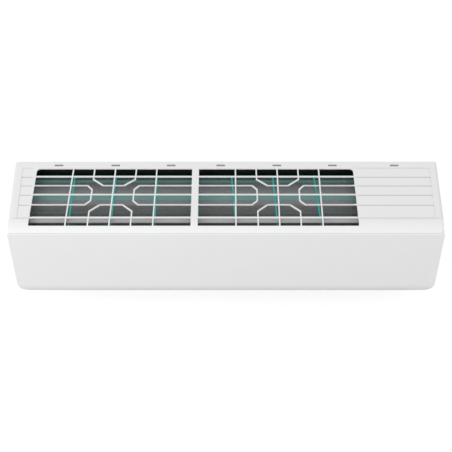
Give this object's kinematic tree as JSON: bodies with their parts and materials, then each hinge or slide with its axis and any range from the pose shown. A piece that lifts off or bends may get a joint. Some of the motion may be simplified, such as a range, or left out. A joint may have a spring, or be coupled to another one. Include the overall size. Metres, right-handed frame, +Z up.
{
  "type": "mini split indoor unit",
  "caption": "Wall-hung indoor unit of a mini split air conditioner: top inlet grille, removable filters, hinged front panel, coil, cross-flow fan, swing louver and vanes.",
  "frame": {"origin": "centre of the wall plate's rear face, where it meets the wall", "axes": "+X along the unit to the right seen from the room, +Y into the wall, +Z up"},
  "size_m": [0.838, 0.1809, 0.2886],
  "materials": {
    "casing_white": "satin white moulding",
    "panel_white": "smooth semi-gloss white",
    "filter_teal": "teal moulding",
    "filter_net": "fine grey net",
    "fin_aluminium": "thin coated fins",
    "galvanised": "galvanised sheet",
    "copper": "drawn copper tube",
    "housing_grey": "grey moulding",
    "pan_grey": "light grey moulding",
    "black_rubber": "matt rubber",
    "fan_plastic": "dark filled plastic",
    "steel": "ground steel",
    "bush": "sintered bronze",
    "motor_resin": "moulded resin",
    "vane_grey": "dark grey moulding",
    "brass": "turned brass",
    "sensor_plastic": "white plastic",
    "box_plastic": "flame-retardant plastic",
    "board": "green printed board",
    "component": "black moulded parts",
    "button_grey": "grey plastic"
  },
  "bodies": {
    "unit": {"front_casing": "casing_white", "filter_frame_left": "filter_teal", "filter_frame_right": "filter_teal", "filter_mesh_left": "filter_net", "filter_mesh_right": "filter_net", "coil_fins_rear": "fin_aluminium", "coil_fins_upper": "fin_aluminium", "coil_fins_lower": "fin_aluminium", "coil_end_plates": "galvanised", "coil_tubes": "copper", "return_bends": "copper", "rear_housing": "housing_grey", "drain_pan": "pan_grey", "drain_plug": "black_rubber", "bearing_bush": "bush", "bearing_seat": "black_rubber", "fan_motor": "motor_resin", "motor_rings": "black_rubber", "motor_clamp": "housing_grey", "louver_motor": "galvanised", "vane_motor": "galvanised", "suction_pipe": "copper", "liquid_pipe": "copper", "flare_unions": "brass", "pipe_clamp": "housing_grey", "coil_sensor": "copper", "room_sensor": "sensor_plastic", "control_box": "box_plastic", "box_cover": "galvanised", "control_board": "board", "board_components": "component", "terminal_block": "component", "terminal_screws": "steel", "terminal_cover": "galvanised", "cord_clamp": "box_plastic", "display_board": "box_plastic", "wall_plate": "galvanised", "casing_screws": "steel", "screw_caps": "casing_white"},
    "front_panel": {"front_panel": "panel_white"},
    "louver": {"louver": "panel_white"},
    "fan": {"cross_flow_fan": "fan_plastic", "fan_stub": "steel", "motor_shaft": "steel"},
    "vane_crank": {"vane_crank": "vane_grey"},
    "vane_link": {"vane_link": "vane_grey"},
    "emergency_button": {"emergency_button": "button_grey"},
    "vane_01": {"vane_01": "vane_grey"},
    "vane_02": {"vane_02": "vane_grey"},
    "vane_03": {"vane_03": "vane_grey"},
    "vane_04": {"vane_04": "vane_grey"},
    "vane_05": {"vane_05": "vane_grey"},
    "vane_06": {"vane_06": "vane_grey"},
    "vane_07": {"vane_07": "vane_grey"},
    "vane_08": {"vane_08": "vane_grey"},
    "vane_09": {"vane_09": "vane_grey"},
    "vane_10": {"vane_10": "vane_grey"}
  },
  "joints": [
    {"name": "panel_hinge", "type": "hinge", "parent": "unit", "child": "front_panel", "pos_m": [0, -0.161, 0.13475], "axis": [-1, 0, 0], "range_deg": [0, 60]},
    {"name": "louver_turn", "type": "hinge", "parent": "unit", "child": "louver", "pos_m": [0, -0.07839, -0.12467], "axis": [1, 0, 0], "range_deg": [0, 80]},
    {"name": "fan_spin", "type": "hinge", "parent": "unit", "child": "fan", "pos_m": [0, -0.08, 0.00125], "axis": [1, 0, 0], "continuous": true},
    {"name": "button_press", "type": "slide", "parent": "unit", "child": "emergency_button", "axis": [0, 1, 0], "range_m": [0, 0.0012], "stiffness_N_per_m": 400, "springref_m": -0.0005},
    {"name": "vane_01_swing", "type": "hinge", "parent": "unit", "child": "vane_01", "pos_m": [-0.341, -0.08669, -0.07855], "axis": [0, 0.766, -0.6428], "range_deg": [-30, 30]},
    {"name": "vane_02_swing", "type": "hinge", "parent": "unit", "child": "vane_02", "pos_m": [-0.279, -0.08669, -0.07855], "axis": [0, 0.766, -0.6428], "range_deg": [-30, 30]},
    {"name": "vane_03_swing", "type": "hinge", "parent": "unit", "child": "vane_03", "pos_m": [-0.217, -0.08669, -0.07855], "axis": [0, 0.766, -0.6428], "range_deg": [-30, 30]},
    {"name": "vane_04_swing", "type": "hinge", "parent": "unit", "child": "vane_04", "pos_m": [-0.155, -0.08669, -0.07855], "axis": [0, 0.766, -0.6428], "range_deg": [-30, 30]},
    {"name": "vane_05_swing", "type": "hinge", "parent": "unit", "child": "vane_05", "pos_m": [-0.093, -0.08669, -0.07855], "axis": [0, 0.766, -0.6428], "range_deg": [-30, 30]},
    {"name": "vane_06_swing", "type": "hinge", "parent": "unit", "child": "vane_06", "pos_m": [-0.031, -0.08669, -0.07855], "axis": [0, 0.766, -0.6428], "range_deg": [-30, 30]},
    {"name": "vane_07_swing", "type": "hinge", "parent": "unit", "child": "vane_07", "pos_m": [0.031, -0.08669, -0.07855], "axis": [0, 0.766, -0.6428], "range_deg": [-30, 30]},
    {"name": "vane_08_swing", "type": "hinge", "parent": "unit", "child": "vane_08", "pos_m": [0.093, -0.08669, -0.07855], "axis": [0, 0.766, -0.6428], "range_deg": [-30, 30]},
    {"name": "vane_09_swing", "type": "hinge", "parent": "unit", "child": "vane_09", "pos_m": [0.155, -0.08669, -0.07855], "axis": [0, 0.766, -0.6428], "range_deg": [-30, 30]},
    {"name": "vane_10_swing", "type": "hinge", "parent": "unit", "child": "vane_10", "pos_m": [0.217, -0.08669, -0.07855], "axis": [0, 0.766, -0.6428], "range_deg": [-30, 30]},
    {"name": "crank_turn", "type": "hinge", "parent": "unit", "child": "vane_crank", "pos_m": [-0.31, -0.08669, -0.07855], "axis": [0, 0.766, -0.6428], "range_deg": [-30, 30]},
    {"name": "link_pivot", "type": "hinge", "parent": "vane_01", "child": "vane_link", "pos_m": [-0.341, -0.0944, -0.08774], "axis": [0, 0.766, -0.6428], "range_deg": [-30, 30]}
  ],
  "couplings": [
    {"joint": "vane_02_swing", "follows": "vane_01_swing", "ratio": 1},
    {"joint": "vane_03_swing", "follows": "vane_01_swing", "ratio": 1},
    {"joint": "vane_04_swing", "follows": "vane_01_swing", "ratio": 1},
    {"joint": "vane_05_swing", "follows": "vane_01_swing", "ratio": 1},
    {"joint": "vane_06_swing", "follows": "vane_01_swing", "ratio": 1},
    {"joint": "vane_07_swing", "follows": "vane_01_swing", "ratio": 1},
    {"joint": "vane_08_swing", "follows": "vane_01_swing", "ratio": 1},
    {"joint": "vane_09_swing", "follows": "vane_01_swing", "ratio": 1},
    {"joint": "vane_10_swing", "follows": "vane_01_swing", "ratio": 1},
    {"joint": "crank_turn", "follows": "vane_01_swing", "ratio": 1},
    {"joint": "link_pivot", "follows": "vane_01_swing", "ratio": -1}
  ]
}
